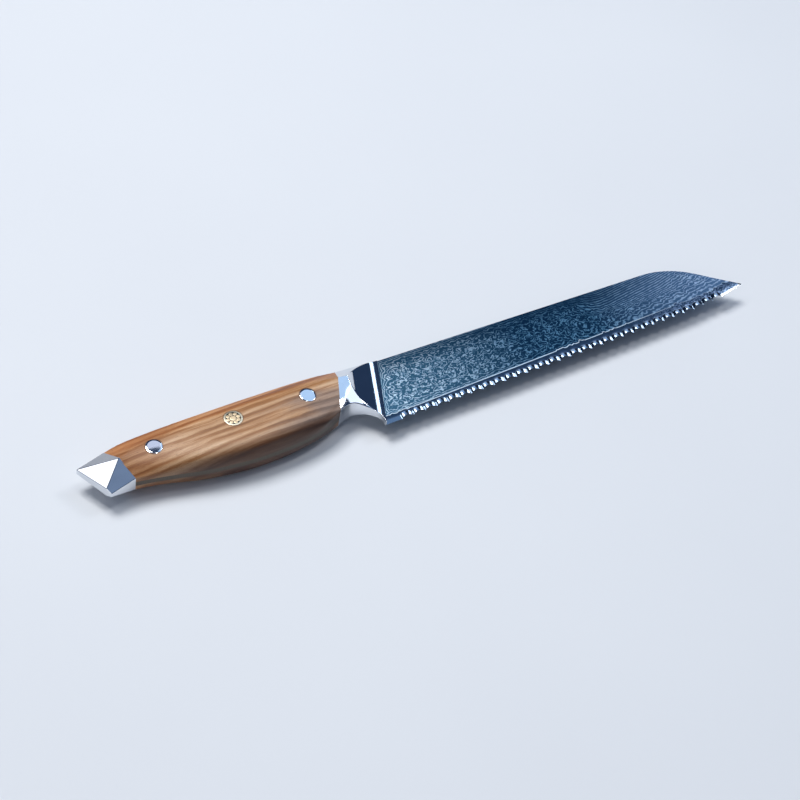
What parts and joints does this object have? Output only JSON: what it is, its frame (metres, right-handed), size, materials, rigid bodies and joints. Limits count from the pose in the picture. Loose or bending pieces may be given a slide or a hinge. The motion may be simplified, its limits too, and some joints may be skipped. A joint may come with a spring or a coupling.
{
  "type": "bread knife",
  "caption": "Bread knife with a scalloped laminated patterned steel blade, steel bolster and butt cap, and a full-tang wooden handle with a mosaic pin.",
  "frame": {"origin": "under the middle of the knife's box, on the surface that it lies on, left side down", "axes": "+X from butt to tip along the cutting edge, +Y from cutting edge to spine, +Z from the left side to the right side"},
  "size_m": [0.3284, 0.0372, 0.0186],
  "materials": {
    "core_steel": "ground, with a polished scalloped edge",
    "patterned_steel": "etched satin with a fine wavy layer pattern",
    "polished_steel": "mirror polished stainless steel",
    "tang_steel": "ground stainless steel",
    "wood": "oiled satin, long streaky grain",
    "nickel_silver": "polished nickel silver",
    "brass": "polished pale brass",
    "resin": "black epoxy, ground flush"
  },
  "bodies": {
    "root": {"blade_core": "core_steel", "cladding_right": "patterned_steel", "cladding_left": "patterned_steel", "bolster": "polished_steel", "tang": "tang_steel", "scale_right": "wood", "scale_left": "wood", "pin_front": "polished_steel", "pin_rear": "polished_steel", "mosaic_tube": "nickel_silver", "mosaic_rods": "brass", "mosaic_centre_rod": "brass", "mosaic_resin": "resin", "butt_cap": "polished_steel"}
  },
  "joints": []
}
